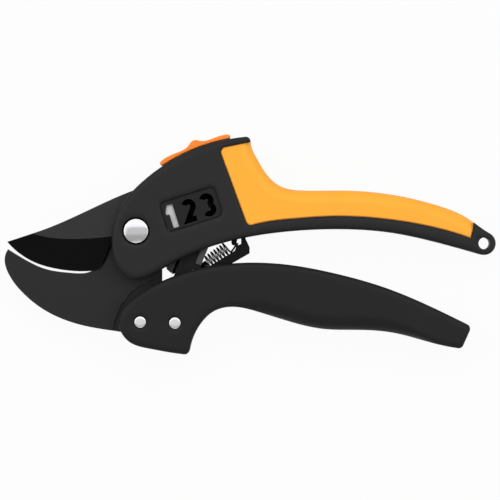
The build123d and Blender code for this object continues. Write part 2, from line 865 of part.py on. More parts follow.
for rivet_name, rivet_place in (("jaw_rivet", jaw_rivet), ("link_rivet", link_rivet)):
    with BuildPart() as rivet:
        with BuildSketch():
            with Locations(rivet_place):
                Circle(rivet_radius)
        extrude(amount=body_thickness)
        for level in (0.0, body_thickness - rivet_head_depth):
            with BuildSketch(Plane.XY.offset(level)):
                with Locations(rivet_place):
                    Circle(rivet_head_radius)
            extrude(amount=rivet_head_depth)
    rivet.part.label = rivet_name
    export_step(rivet.part, f"parts/{rivet_name}.step")

# Spacer rings fill the fork on either side of the jaw's tail and of the link
spacer_stacks = (
    ("jaw_rivet_spacers", jaw_rivet, jaw_rear, jaw_tail_front),
    ("link_rivet_spacers", link_rivet, link_rear, link_front),
)
for stack_name, stack_place, plate_rear, plate_front in spacer_stacks:
    with BuildPart() as spacers:
        for ring_rear, ring_front in (
            (rear_cheek, plate_rear - slide_gap),
            (plate_front + slide_gap, bay_front),
        ):
            with BuildSketch(Plane.XY.offset(ring_rear)):
                with Locations(stack_place):
                    Circle(spacer_radius)
                    Circle(rivet_radius + seat_gap, mode=Mode.SUBTRACT)
            extrude(amount=ring_front - ring_rear)
    spacers.part.label = stack_name
    export_step(spacers.part, f"parts/{stack_name}.step")

# Ratchet link: an eye on its rivet and a row of notches that bear on the pin in the body
link_length = (notch_pin_place - link_rivet).length
link_plane = Plane((link_rivet.X, link_rivet.Y, 0), x_dir=notch_pin_place - link_rivet)
link_tip = link_length + (notch_count - 1) * notch_pitch + link_tip_length
notch_half = notch_pin_radius + free_gap
spring_plane = Plane(spring_hook, x_dir=spring_lug_place - spring_hook)

with BuildPart() as ratchet_link:
    with BuildSketch(link_plane.offset(link_rear)):
        Circle(link_eye_radius)
        with BuildLine():
            Polyline(
                (0, -link_eye_radius),
                (link_neck, -link_front_edge),
                (link_tip, -link_front_edge),
                (link_tip, link_back_edge / 2),
                (link_tip - link_tip_length, link_back_edge),
                (link_neck, link_back_edge),
                (0, link_eye_radius),
                close=True,
            )
        make_face()
        for step in range(notch_count):
            with Locations((link_length + step * notch_pitch, notch_slack)):
                Circle(notch_half, mode=Mode.SUBTRACT)
            with Locations((link_length + step * notch_pitch, notch_slack - link_eye_radius / 2)):
                Rectangle(2 * notch_half, link_eye_radius, mode=Mode.SUBTRACT)
        Circle(rivet_radius + link_bush_wall, mode=Mode.SUBTRACT)
    extrude(amount=link_thickness)
    with BuildSketch(spring_plane.offset(-spring_wire)):
        with Locations((spring_start / 2, 0)):
            Rectangle(spring_start + 2 * spring_wire, 3 * spring_wire)
    extrude(amount=2 * spring_wire, mode=Mode.SUBTRACT)
    # the edge gives way to the first turns of the spring
    with BuildSketch(spring_plane.offset(-link_thickness)):
        with Locations((spring_start - spring_wire + spring_outside / 2, 0)):
            Rectangle(spring_outside, spring_outside + 2 * free_gap)
    extrude(amount=2 * link_thickness, mode=Mode.SUBTRACT)
    with BuildSketch(Plane.XY.offset(link_rear)):
        with Locations(spring_hook):
            Circle(hook_pin_radius)
    extrude(amount=link_thickness, mode=Mode.SUBTRACT)
ratchet_link.part.label = "ratchet_link"
export_step(ratchet_link.part, "parts/ratchet_link.step")

with BuildPart() as link_bush:
    with BuildSketch(Plane.XY.offset(link_rear)):
        with Locations(link_rivet):
            Circle(rivet_radius + link_bush_wall)
            Circle(rivet_radius + running_gap, mode=Mode.SUBTRACT)
    extrude(amount=link_thickness)
link_bush.part.label = "link_bush"
export_step(link_bush.part, "parts/link_bush.step")

with BuildPart() as spring_hook_pin:
    with BuildSketch(Plane.XY.offset(link_rear)):
        with Locations(spring_hook):
            Circle(hook_pin_radius)
    extrude(amount=link_thickness)
spring_hook_pin.part.label = "spring_hook_pin"
export_step(spring_hook_pin.part, "parts/spring_hook_pin.step")


# Return spring: one wire from the hook pin, round its turns and on to the lug
coil_radius = (spring_outside - spring_wire) / 2
coil_along = spring_plane.x_dir
coil_up = spring_plane.y_dir
coil_front = spring_plane.z_dir
coil_rise = spring_pitch / (2 * math.pi)


def coil_point(turn):
    """The place and the direction of the wire after a number of turns."""
    angle = 2 * math.pi * turn
    centre = spring_hook + coil_along * (spring_start + spring_pitch * turn)
    outward = coil_up * math.cos(angle) + coil_front * math.sin(angle)
    round_way = coil_front * math.cos(angle) - coil_up * math.sin(angle)
    return centre + outward * coil_radius, (round_way * coil_radius + coil_along * coil_rise).normalized()


def biarc(start, start_way, end, end_way):
    """Two arcs that leave start and reach end in the given directions."""
    span = end - start
    both = start_way + end_way
    bend = 2 * (1 - start_way.dot(end_way))
    run = span.dot(both)
    reach = (math.sqrt(run**2 + bend * span.dot(span)) - run) / bend
    start_corner = start + start_way * reach
    end_corner = end - end_way * reach
    joint = (start_corner + end_corner) * 0.5
    TangentArc(start, joint, tangent=start_way)
    TangentArc(joint, end, tangent=(end_corner - start_corner).normalized())


wire_start = spring_hook + coil_along * (hook_pin_radius + hook_gap)
wire_end = spring_lug_place - coil_along * spring_lug_radius
coil_lead_in = spring_hook + coil_along * (spring_start - spring_turn_out)
coil_lead_out = wire_end - coil_along * spring_wire
first_place, first_way = coil_point(0)
last_place, last_way = coil_point(spring_turns)

with BuildPart() as return_spring:
    with BuildLine() as wire_path:
        Line(wire_start, coil_lead_in)
        biarc(coil_lead_in, coil_along, first_place, first_way)
        for quarter in range(4 * spring_turns):
            biarc(*coil_point(quarter / 4), *coil_point((quarter + 1) / 4))
        biarc(last_place, last_way, coil_lead_out, coil_along)
        Line(coil_lead_out, wire_end)
    with BuildSketch(Plane(wire_start, z_dir=coil_along)):
        Circle(spring_wire / 2)
    sweep()
return_spring.part.label = "return_spring"
export_step(return_spring.part, "parts/return_spring.step")

wire_steps = 60 * spring_turns
wire_points = [wire_path.wire() @ (step / wire_steps) for step in range(wire_steps + 1)]
wire_length = wire_path.wire().length
near_steps = math.ceil(wire_steps * 3 * spring_wire / wire_length)
least_gap = min(
    (wire_points[i] - wire_points[j]).length - spring_wire
    for i in range(wire_steps + 1)
    for j in range(i + near_steps, wire_steps + 1)
)
print(f"return spring: wire {wire_length:.1f} mm long, least gap to itself {least_gap:.2f} mm")

# Digit window: a plate with the three step numbers cut through it
stroke_reach = (digit_height - digit_stroke) / 2
bowl = stroke_reach / 2
one_x, two_x, three_x = (digit_offset + digit_pitch * step for step in (-1, 0, 1))
one_left = one_x - digit_stroke / 2 + one_flag / 3
digit_top = digit_height / 2 - digit_drop
digit_foot = -stroke_reach - digit_drop
flag_foot = digit_top - one_flag_share * digit_height

with BuildPart() as digit_window:
    with BuildSketch(window_plane.offset(window_face - window_plate)):
        RectangleRounded(window_length - 2 * seat_gap, window_height - 2 * seat_gap, window_corner)
        with BuildLine():
            Polyline(
                (one_left, digit_top),
                (one_left + digit_stroke, digit_top),
                (one_left + digit_stroke, digit_top - digit_height),
                (one_left, digit_top - digit_height),
                (one_left, flag_foot),
                (one_left - one_flag, flag_foot),
                (one_left - one_flag, flag_foot + one_flag),
                close=True,
            )
        make_face(mode=Mode.SUBTRACT)
        with BuildLine() as two:
            two_bowl = CenterArc((two_x, bowl - digit_drop), bowl, bowl_start, hook_sweep)
            Polyline(two_bowl @ 1, (two_x - bowl, digit_foot), (two_x + bowl, digit_foot))
        trace(two.line, line_width=digit_stroke, mode=Mode.SUBTRACT)
        with BuildLine() as three_upper:
            CenterArc((three_x, bowl - digit_drop), bowl, bowl_start, bowl_sweep)
        trace(three_upper.line, line_width=digit_stroke, mode=Mode.SUBTRACT)
        with BuildLine() as three_lower:
            CenterArc((three_x, -bowl - digit_drop), bowl, -bowl_start, -bowl_sweep)
        trace(three_lower.line, line_width=digit_stroke, mode=Mode.SUBTRACT)
    extrude(amount=window_plate)
digit_window.part.label = "digit_window"
export_step(digit_window.part, "parts/digit_window.step")

# Step indicator: a light plate behind the digits with a peg into the bay
with BuildPart() as step_indicator:
    with BuildSketch(window_plane.offset(indicator_rear)):
        with Locations((digit_offset - digit_pitch, -digit_drop)):
            Rectangle(indicator_length, indicator_height)
    extrude(amount=indicator_thickness)
    with BuildSketch(window_plane.offset(indicator_rear)):
        with Locations((digit_offset - digit_pitch, -digit_drop)):
            Circle(indicator_peg_radius)
    extrude(amount=-indicator_peg_length)
step_indicator.part.label = "step_indicator"
export_step(step_indicator.part, "parts/step_indicator.step")

# Lock: a thumb slider on the head's top arc with a catch that drops into the jaw's rim
with BuildPart() as lock_catch:
    with BuildSketch(Plane.XY.offset(catch_rear)):
        with BuildLine():
            tip_side = (catch_tip - top_arc).normalized() * (catch_width / 2)
            tip_back = Vector(1, 0).rotate(Axis.Z, catch_way) * -catch_arm
            Polyline(
                polar(top_arc, top_arc_radius + catch_grip, catch_stem_right),
                polar(top_arc, top_arc_radius + catch_grip, catch_stem_left),
                polar(top_arc, catch_elbow, catch_stem_left),
                catch_tip + tip_side + tip_back,
                catch_tip + tip_side,
                catch_tip - tip_side,
                catch_tip - tip_side + tip_back,
                polar(top_arc, catch_elbow - catch_width, catch_stem_right),
                close=True,
            )
        make_face()
    extrude(amount=catch_thickness)
lock_catch.part.label = "lock_catch"
export_step(lock_catch.part, "parts/lock_catch.step")

with BuildPart() as lock_button:
    with BuildSketch(Plane.XY.offset(middle - lock_width / 2)):
        with BuildLine():
            sole = CenterArc(top_arc, top_arc_radius + lock_gap, lock_right, lock_left - lock_right)
            lock_top = top_arc_radius + lock_thickness
            ridge_line = Spline(
                polar(top_arc, lock_top, lock_right),
                polar(top_arc, lock_top, (lock_right + lock_ridge) / 2),
                polar(top_arc, lock_top + lock_ridge_height / 4, lock_ridge - lock_ramp),
                polar(top_arc, lock_top + lock_ridge_height, lock_ridge - lock_crest / 2),
                polar(top_arc, lock_top + lock_ridge_height, lock_ridge + lock_crest / 2),
                polar(top_arc, lock_top + lock_ridge_height / 4, lock_ridge + lock_ramp),
                polar(top_arc, lock_top, (lock_left + lock_ridge) / 2),
                polar(top_arc, lock_top, lock_left),
            )
            Line(sole @ 0, ridge_line @ 0)
            Line(sole @ 1, ridge_line @ 1)
        make_face()
    extrude(amount=lock_width)
    fillet(lock_button.edges().filter_by(Axis.Z), radius=lock_end_round)
    fillet(edges_along(lock_button, [ridge_line]), radius=lock_side_round)
    add(lock_catch.part, mode=Mode.SUBTRACT)
lock_button.part.label = "lock_button"
export_step(lock_button.part, "parts/lock_button.step")
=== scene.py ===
# %% [markdown]
# # Pruning shears with a step lever
# The solids of the shears come in as a fixed frame: two black housing halves, an orange grip, a
# coated blade and jaw, a lower handle and the small hardware. This lesson sets the picture up, gives
# each solid its finish and models again the pieces whose detail the solids leave out: the wire of the
# spring, the bolt, the rivets, the nut and the screws. A lip on the link and a toe on the spring's
# channel are new. Blender works in metres, so a length is written in millimetres times mm.

# %% Load the frame
import bpy
import math
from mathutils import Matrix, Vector


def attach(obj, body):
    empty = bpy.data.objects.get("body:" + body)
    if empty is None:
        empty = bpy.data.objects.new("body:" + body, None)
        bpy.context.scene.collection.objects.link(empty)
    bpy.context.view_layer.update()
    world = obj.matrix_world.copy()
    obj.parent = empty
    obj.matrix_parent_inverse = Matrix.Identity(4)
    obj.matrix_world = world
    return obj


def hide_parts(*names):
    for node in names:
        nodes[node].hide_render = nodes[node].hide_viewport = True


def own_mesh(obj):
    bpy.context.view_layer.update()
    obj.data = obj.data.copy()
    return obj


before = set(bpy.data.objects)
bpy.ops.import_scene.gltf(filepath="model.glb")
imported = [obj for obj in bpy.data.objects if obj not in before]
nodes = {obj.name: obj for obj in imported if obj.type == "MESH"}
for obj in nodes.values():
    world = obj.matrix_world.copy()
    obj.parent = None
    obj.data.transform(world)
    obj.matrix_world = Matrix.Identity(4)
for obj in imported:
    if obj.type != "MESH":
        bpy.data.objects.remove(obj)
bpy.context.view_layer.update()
bpy.ops.object.select_all(action="DESELECT")
mm = 0.001

# %% [markdown]
# ## Camera
# The picture looks straight down on the shears, which lie on their rear side, with hardly any
# perspective. A long lens far away gives that and still works for views from the sides. The front
# faces lie 20 mm above the floor, and 210 mm of them fill the picture's width.

# %% Camera
picture_width = 210.0 * mm
picture_centre = Vector((47.96, -7.98, 0.0)) * mm
front_level = 20.0 * mm
bpy.ops.object.camera_add()
camera = bpy.context.object
camera.name = "camera"
camera.data.lens = 250.0
camera.data.sensor_width = 36.0
camera_height = picture_width * camera.data.lens / camera.data.sensor_width
camera.location = picture_centre + Vector((0, 0, front_level + camera_height))
camera.rotation_euler = (0, 0, 0)
bpy.context.scene.camera = camera
bpy.context.scene.view_settings.view_transform = "Standard"
print("camera", round(camera_height, 3), "m above the front faces")

# %% [markdown]
# ## Background
# The background is white. The floor could be lit until it is white, but that would bleach the shears,
# so its own material turns mostly to plain white for rays that show the background, and keeps a faint
# shadow. The world does the same. Polished steel mirrors that white too, and to all other rays the
# floor and the world are a dim room. The helpers place and link nodes, and find those rays.


# %% Node helpers
def place_node(tree, kind, operation=None):
    """Add a node of a kind, set to an operation where it has one."""
    node = tree.nodes.new("ShaderNode" + kind)
    if operation:
        node.operation = operation
    return node


def link_up(tree, *links):
    """Link sockets, given as pairs of an output and an input."""
    for source, target in links:
        tree.links.new(source, target)


def background_rays(tree):
    """One for rays that show the background, whether seen, mirrored or through glass, else zero."""
    path = place_node(tree, "LightPath")
    mirrored = place_node(tree, "Math", "MAXIMUM")
    shown = place_node(tree, "Math", "MAXIMUM")
    link_up(
        tree,
        (path.outputs["Is Camera Ray"], mirrored.inputs[0]),
        (path.outputs["Is Glossy Ray"], mirrored.inputs[1]),
        (mirrored.outputs[0], shown.inputs[0]),
        (path.outputs["Is Transmission Ray"], shown.inputs[1]),
    )
    return shown.outputs[0]


print("node helpers ready")

# %% Floor
floor_size, floor_drop = 30.0, 0.3 * mm
floor_paint, floor_glow, white_share = (0.65, 0.65, 0.65, 1), (1, 1, 1, 1), 0.95
bpy.ops.mesh.primitive_plane_add(size=floor_size, location=(0, 0, -floor_drop))
floor = bpy.context.object
floor.name = "floor"
floor_white = bpy.data.materials.new("floor_white")
floor_white.use_nodes = True
tree = floor_white.node_tree
tree.nodes.clear()
out = place_node(tree, "OutputMaterial")
blend_in = place_node(tree, "MixShader")
paint = place_node(tree, "BsdfDiffuse")
paint.inputs["Color"].default_value = floor_paint
glow = place_node(tree, "Emission")
glow.inputs["Color"].default_value = floor_glow
glow.inputs["Strength"].default_value = 1.0
share = place_node(tree, "Math", "MULTIPLY")
share.inputs[1].default_value = white_share
link_up(
    tree,
    (background_rays(tree), share.inputs[0]),
    (share.outputs[0], blend_in.inputs[0]),
    (paint.outputs[0], blend_in.inputs[1]),
    (glow.outputs[0], blend_in.inputs[2]),
    (blend_in.outputs[0], out.inputs["Surface"]),
)
floor.data.materials.append(floor_white)
print("floor made")

# %% World
room_dim, room_white = (0.2, 0.2, 0.205, 1), (1, 1, 1, 1)
room = bpy.data.worlds.new("dim_room")
bpy.context.scene.world = room
room.use_nodes = True
tree = room.node_tree
tree.nodes.clear()
out = place_node(tree, "OutputWorld")
sky = place_node(tree, "Background")
sky.inputs["Strength"].default_value = 1.0
tone = place_node(tree, "Mix")
tone.data_type = "RGBA"
tone.inputs["A"].default_value = room_dim
tone.inputs["B"].default_value = room_white
link_up(
    tree,
    (background_rays(tree), tone.inputs["Factor"]),
    (tone.outputs["Result"], sky.inputs["Color"]),
    (sky.outputs[0], out.inputs["Surface"]),
)
print("world made")

# %% [markdown]
# ## Lamps
# Black plastic shows its form mostly by soft reflections. One lamp overhead would light each front
# face alike, so a wide lamp leans in from the top of the picture, a weaker one hangs overhead, one
# stands at each side and a strip stands low at the bottom. Each line gives a lamp's place and its
# width and height in metres, and its power in watts.

# %% Lamps
lamp_aim = Vector((45.0, -5.0, 10.0)) * mm
lamps = [
    ("key_lamp", (0.045, 0.60, 0.93), 2.0, 0.76, 9.4),
    ("overhead_lamp", (0.045, 0.035, 1.11), 1.4, 0.54, 1.35),
    ("left_lamp", (-0.955, 0.12, 0.74), 0.8, 0.8, 4.6),
    ("right_lamp", (1.045, 0.12, 0.74), 0.8, 0.8, 4.6),
    ("low_strip", (0.045, -0.70, 0.87), 0.6, 0.2, 0.5),
]
for name, place, width, height, power in lamps:
    bpy.ops.object.light_add(type="AREA", location=place)
    lamp = bpy.context.object
    lamp.name = name
    lamp.data.shape = "RECTANGLE"
    lamp.data.size = width
    lamp.data.size_y = height
    lamp.data.energy = power
    lamp.rotation_euler = (lamp_aim - Vector(place)).to_track_quat("-Z", "Y").to_euler()
print(len(lamps), "lamps made")

# %% [markdown]
# ## Shared effects
# Several finishes share an effect, such as grain, rings or worn edges. Each effect could be built in
# every material again. As a node group with its own sizes it is built once and placed where it is
# needed. Two effects ask how far a point is from an upright axis, so a helper works that out.


# %% Group helpers
def effect_group(name, sizes, results):
    """An empty shader node group with number inputs and outputs."""
    group = bpy.data.node_groups.new(name, "ShaderNodeTree")
    for label, value in sizes:
        socket = group.interface.new_socket(label, in_out="INPUT", socket_type="NodeSocketFloat")
        socket.default_value = value
    for label in results:
        group.interface.new_socket(label, in_out="OUTPUT", socket_type="NodeSocketFloat")
    return group, group.nodes.new("NodeGroupInput"), group.nodes.new("NodeGroupOutput")


def axis_distance(group, given, where):
    """The distance of a point from the upright axis at the group's Centre X and Centre Y."""
    centre = place_node(group, "CombineXYZ")
    off = place_node(group, "VectorMath", "SUBTRACT")
    flat = place_node(group, "VectorMath", "MULTIPLY")
    flat.inputs[1].default_value = (1, 1, 0)
    reach = place_node(group, "VectorMath", "LENGTH")
    link_up(
        group,
        (given.outputs["Centre X"], centre.inputs["X"]),
        (given.outputs["Centre Y"], centre.inputs["Y"]),
        (where.outputs["Object"], off.inputs[0]),
        (centre.outputs[0], off.inputs[1]),
        (off.outputs[0], flat.inputs[0]),
        (flat.outputs[0], reach.inputs[0]),
    )
    return reach.outputs["Value"]


print("group helpers ready")

# %% [markdown]
# ### Grain
# Moulded plastic, soft grip and coated steel have a fine grain, and no large surface has quite one
# tone. A picture could hold both, but it would need a map of the surface. Noise on Object
# coordinates needs none, and the pattern stays on the piece when it moves.

# %% Grain
moulded_grain, given, made = effect_group(
    "moulded_grain",
    [("Grain Scale", 4000.0), ("Mottle Scale", 60.0)],
    ["Height", "Mottle"],
)
where = place_node(moulded_grain, "TexCoord")
fine = place_node(moulded_grain, "TexNoise")
fine.inputs["Detail"].default_value = 2.0
broad = place_node(moulded_grain, "TexNoise")
broad.inputs["Detail"].default_value = 3.0
link_up(
    moulded_grain,
    (where.outputs["Object"], fine.inputs["Vector"]),
    (where.outputs["Object"], broad.inputs["Vector"]),
    (given.outputs["Grain Scale"], fine.inputs["Scale"]),
    (given.outputs["Mottle Scale"], broad.inputs["Scale"]),
    (fine.outputs["Fac"], made.inputs["Height"]),
    (broad.outputs["Fac"], made.inputs["Mottle"]),
)
print("effect", moulded_grain.name)

# %% [markdown]
# ### Rings
# A turned head keeps fine rings from the lathe round its axis. A wave texture would make them all
# alike. A noise along the distance from the axis makes them uneven, as real ones are.

# %% Rings
turned_rings, given, made = effect_group(
    "turned_rings",
    [("Centre X", 0.0), ("Centre Y", 0.0), ("Rings per Metre", 9000.0)],
    ["Height"],
)
where = place_node(turned_rings, "TexCoord")
count = place_node(turned_rings, "Math", "MULTIPLY")
wave = place_node(turned_rings, "TexNoise")
wave.noise_dimensions = "1D"
wave.inputs["Scale"].default_value = 1.0
wave.inputs["Detail"].default_value = 1.0
link_up(
    turned_rings,
    (axis_distance(turned_rings, given, where), count.inputs[0]),
    (given.outputs["Rings per Metre"], count.inputs[1]),
    (count.outputs[0], wave.inputs["W"]),
    (wave.outputs["Fac"], made.inputs["Height"]),
)
print("effect", turned_rings.name)

# %% [markdown]
# ### Hollows
# Narrow recesses get almost no light on the real shears, so a painted shade darkens them, and the
# same mask brightens the rear half of the spring's wire as painted light. Faces could be picked one
# by one for a second material. A mask by place needs no picking: it holds within a reach of an
# upright axis and below a level.

# %% Hollows
hollow_mask, given, made = effect_group(
    "hollow_mask",
    [("Centre X", 0.0), ("Centre Y", 0.0), ("Reach", 13.0 * mm), ("Top Level", 17.8 * mm)],
    ["Mask"],
)
where = place_node(hollow_mask, "TexCoord")
near = place_node(hollow_mask, "Math", "LESS_THAN")
level = place_node(hollow_mask, "SeparateXYZ")
low = place_node(hollow_mask, "Math", "LESS_THAN")
both = place_node(hollow_mask, "Math", "MULTIPLY")
link_up(
    hollow_mask,
    (axis_distance(hollow_mask, given, where), near.inputs[0]),
    (given.outputs["Reach"], near.inputs[1]),
    (where.outputs["Object"], level.inputs[0]),
    (level.outputs["Z"], low.inputs[0]),
    (given.outputs["Top Level"], low.inputs[1]),
    (near.outputs[0], both.inputs[0]),
    (low.outputs[0], both.inputs[1]),
    (both.outputs[0], made.inputs["Mask"]),
)
print("effect", hollow_mask.name)

# %% [markdown]
# ### Edge wear
# Hands rub the edges lighter first. A painted mask would have to follow every edge. The Bevel node
# gives a rounded normal near an edge instead, the mask grows where that normal turns away from the
# face's own, and a noise breaks it into patches.

# %% Edge wear
edge_from, edge_full = 0.985, 0.85
patch_from, patch_full = 0.4, 0.65
edge_wear, given, made = effect_group(
    "edge_wear",
    [("Radius", 0.5 * mm), ("Patch Scale", 160.0)],
    ["Mask"],
)
where = place_node(edge_wear, "TexCoord")
face = place_node(edge_wear, "NewGeometry")
rounded = place_node(edge_wear, "Bevel")
rounded.samples = 4
turned_away = place_node(edge_wear, "VectorMath", "DOT_PRODUCT")
edge = place_node(edge_wear, "MapRange")
edge.inputs["From Min"].default_value = edge_from
edge.inputs["From Max"].default_value = edge_full
patches = place_node(edge_wear, "TexNoise")
patches.inputs["Detail"].default_value = 4.0
rubbed = place_node(edge_wear, "MapRange")
rubbed.inputs["From Min"].default_value = patch_from
rubbed.inputs["From Max"].default_value = patch_full
worn = place_node(edge_wear, "Math", "MULTIPLY")
link_up(
    edge_wear,
    (given.outputs["Radius"], rounded.inputs["Radius"]),
    (rounded.outputs["Normal"], turned_away.inputs[0]),
    (face.outputs["Normal"], turned_away.inputs[1]),
    (turned_away.outputs["Value"], edge.inputs["Value"]),
    (where.outputs["Object"], patches.inputs["Vector"]),
    (given.outputs["Patch Scale"], patches.inputs["Scale"]),
    (patches.outputs["Fac"], rubbed.inputs["Value"]),
    (edge.outputs["Result"], worn.inputs[0]),
    (rubbed.outputs["Result"], worn.inputs[1]),
    (worn.outputs[0], made.inputs["Mask"]),
)
print("effect", edge_wear.name)

# %% [markdown]
# ### Slopes
# The blade's ground bevel gets a painted shade, darker and less glossy than its flat side. Its faces
# lean a little, so a mask by the face's own normal finds them: not quite upright, and not as steep as
# a wall.

# %% Slopes
tilt_mask, given, made = effect_group(
    "tilt_mask",
    [("Flat From", 0.995), ("Wall Below", 0.6)],
    ["Mask"],
)
face = place_node(tilt_mask, "NewGeometry")
upright = place_node(tilt_mask, "SeparateXYZ")
tilted = place_node(tilt_mask, "Math", "LESS_THAN")
sloped = place_node(tilt_mask, "Math", "GREATER_THAN")
both = place_node(tilt_mask, "Math", "MULTIPLY")
link_up(
    tilt_mask,
    (face.outputs["True Normal"], upright.inputs[0]),
    (upright.outputs["Z"], tilted.inputs[0]),
    (given.outputs["Flat From"], tilted.inputs[1]),
    (upright.outputs["Z"], sloped.inputs[0]),
    (given.outputs["Wall Below"], sloped.inputs[1]),
    (tilted.outputs[0], both.inputs[0]),
    (sloped.outputs[0], both.inputs[1]),
    (both.outputs[0], made.inputs["Mask"]),
)
print("effect", tilt_mask.name)

# %% [markdown]
# ## Finishes
# Every finish is a Principled shader. Its colour and roughness drift a little with the broad noise,
# and the fine grain or the rings go to a Bump node. Numbers that are the same all over are set on
# the shader itself.


# %% Colour of a finish
def finish_start(name, colour, drift):
    """A material whose colour drifts a little, with its shader and its grain group."""
    material = bpy.data.materials.new(name)
    material.use_nodes = True
    tree = material.node_tree
    shader = tree.nodes["Principled BSDF"]
    grain = place_node(tree, "Group")
    grain.node_tree = moulded_grain
    tint = place_node(tree, "Mix")
    tint.data_type = "RGBA"
    tint.inputs["A"].default_value = [c * (1 - drift) for c in colour] + [1]
    tint.inputs["B"].default_value = [min(1.0, c * (1 + drift)) for c in colour] + [1]
    link_up(
        tree,
        (grain.outputs["Mottle"], tint.inputs["Factor"]),
        (tint.outputs["Result"], shader.inputs["Base Color"]),
    )
    return material, tree, shader, grain


print("colour of a finish ready")

# %% Gloss and bump of a finish
noise_low, noise_high = 0.3, 0.7


def rough_drift(tree, shader, source, low, high):
    """Roughness that follows a noise between two values."""
    spread = place_node(tree, "MapRange")
    spread.inputs["From Min"].default_value = noise_low
    spread.inputs["From Max"].default_value = noise_high
    spread.inputs["To Min"].default_value = low
    spread.inputs["To Max"].default_value = high
    link_up(
        tree,
        (source, spread.inputs["Value"]),
        (spread.outputs["Result"], shader.inputs["Roughness"]),
    )


def bump_from(tree, shader, source, strength, depth):
    """A bump of a given depth in metres on the shader's normal."""
    bump = place_node(tree, "Bump")
    bump.inputs["Strength"].default_value = strength
    bump.inputs["Distance"].default_value = depth
    link_up(
        tree,
        (source, bump.inputs["Height"]),
        (bump.outputs["Normal"], shader.inputs["Normal"]),
    )


print("gloss and bump of a finish ready")

# %% Moulded finish
usual_drift, patch_scale, gloss_spread, grain_strength = 0.08, 70.0, 0.05, 0.6


def moulded(name, colour, rough, grain_scale, depth, specular, drift=usual_drift):
    """Moulded plastic, soft grip or coated plate: grained, a little uneven in tone and gloss."""
    material, tree, shader, grain = finish_start(name, colour, drift)
    grain.inputs["Grain Scale"].default_value = grain_scale
    grain.inputs["Mottle Scale"].default_value = patch_scale
    shader.inputs["Specular IOR Level"].default_value = specular
    smoothest, roughest = rough - gloss_spread, rough + gloss_spread
    rough_drift(tree, shader, grain.outputs["Mottle"], smoothest, roughest)
    bump_from(tree, shader, grain.outputs["Height"], grain_strength, depth)
    return material


print("moulded finish ready")

# %% Turned finish
metal_drift, metal_patch_scale, ring_strength = 0.05, 500.0, 0.5
polish_gain, polish_loss = 0.03, 0.05


def turned(name, colour, rough, centre, rings, depth):
    """Turned metal with rings round the axis at a centre in millimetres."""
    material, tree, shader, grain = finish_start(name, colour, metal_drift)
    grain.inputs["Mottle Scale"].default_value = metal_patch_scale
    shader.inputs["Metallic"].default_value = 1.0
    ring = place_node(tree, "Group")
    ring.node_tree = turned_rings
    ring.inputs["Centre X"].default_value = centre[0] * mm
    ring.inputs["Centre Y"].default_value = centre[1] * mm
    ring.inputs["Rings per Metre"].default_value = rings
    smoothest, roughest = rough - polish_gain, rough + polish_loss
    rough_drift(tree, shader, grain.outputs["Mottle"], smoothest, roughest)
    bump_from(tree, shader, ring.outputs["Height"], ring_strength, depth)
    return material


print("turned finish ready")

# %% [markdown]
# ### Plastic and coated plate
# The housing, the handle and the small black parts are one kind of plastic, each a little darker or
# duller than the next, as the real parts are. The grip is soft and a lighter orange than the lock.
# The blade, the jaw and the link are steel under a dark coat, so they are grained and not metallic.
# Each line gives the colour, the roughness, the grain's scale and depth, and the gloss. The orange
# parts drift less in colour, and their last number says so.

# %% Plastic and coated finishes
fine_grain, soft_grain, plate_grain = 5200.0, 4200.0, 3600.0
deep, shallow = 0.03 * mm, 0.02 * mm
body_tone = (0.011, 0.011, 0.0113)
housing_black = moulded("housing_black", body_tone, 0.5, fine_grain, deep, 0.14)
front_black = moulded("front_black", body_tone, 0.5, fine_grain, deep, 0.14)
handle_black = moulded("handle_black", (0.009, 0.009, 0.0092), 0.5, fine_grain, deep, 0.115)
guard_black = moulded("guard_black", (0.005, 0.005, 0.0052), 0.42, soft_grain, deep, 0.05)
window_black = moulded("window_black", (0.006, 0.006, 0.0062), 0.4, fine_grain, shallow, 0.13)
grip_orange = moulded("grip_orange", (1.0, 0.41, 0.035), 0.5, soft_grain, deep, 0.2, 0.04)
lock_orange = moulded("lock_orange", (1.0, 0.25, 0.024), 0.4, fine_grain, shallow, 0.25, 0.04)
indicator_grey = moulded("indicator_grey", (0.55, 0.55, 0.56), 0.5, fine_grain, shallow, 0.3)
spacer_black = moulded("spacer_black", (0.008, 0.008, 0.008), 0.5, fine_grain, shallow, 0.14)
blade_coat = moulded("blade_coat", (0.014, 0.014, 0.0144), 0.42, plate_grain, shallow, 0.19)
jaw_coat = moulded("jaw_coat", (0.012, 0.012, 0.0124), 0.45, plate_grain, shallow, 0.14)
link_coat = moulded("link_coat", (0.006, 0.006, 0.0063), 0.42, plate_grain, shallow, 0.1)
# the lip's lighter grey is a painted highlight
lip_highlight_grey = moulded("lip_highlight_grey", (0.075, 0.075, 0.076), 0.4, plate_grain, shallow, 0.2)
print("plastic and coated finishes made")

# %% [markdown]
# ### Metal
# Polished steel shows mostly what stands round it, and here that is white, so a middle grey is bright
# enough. The rings turn round each piece's own axis, so each rivet has a finish of its own. Each line
# gives the colour, the roughness, the axis, the rings per metre and their depth.

# %% Metal finishes
main_axis, jaw_rivet_place, link_rivet_place = (0, 0), (1.8, -38.3), (16.4, -38.7)
ring_depth = 0.01 * mm
bolt_ring_depth = 2 * ring_depth
bolt_tone, rivet_tone, wire_tone = (0.33, 0.33, 0.335), (0.42, 0.42, 0.425), (0.05, 0.05, 0.052)
steel_tone, brass_tone = (0.45, 0.45, 0.455), (0.6, 0.43, 0.16)
bolt_steel = turned("bolt_steel", bolt_tone, 0.17, main_axis, 2600.0, bolt_ring_depth)
jaw_rivet_steel = turned(
    "jaw_rivet_steel", rivet_tone, 0.18, jaw_rivet_place, 5000.0, ring_depth
)
link_rivet_steel = turned(
    "link_rivet_steel", rivet_tone, 0.18, link_rivet_place, 5000.0, ring_depth
)
plain_steel = turned("plain_steel", steel_tone, 0.3, main_axis, 6000.0, ring_depth)
bush_brass = turned("bush_brass", brass_tone, 0.3, main_axis, 6000.0, ring_depth)
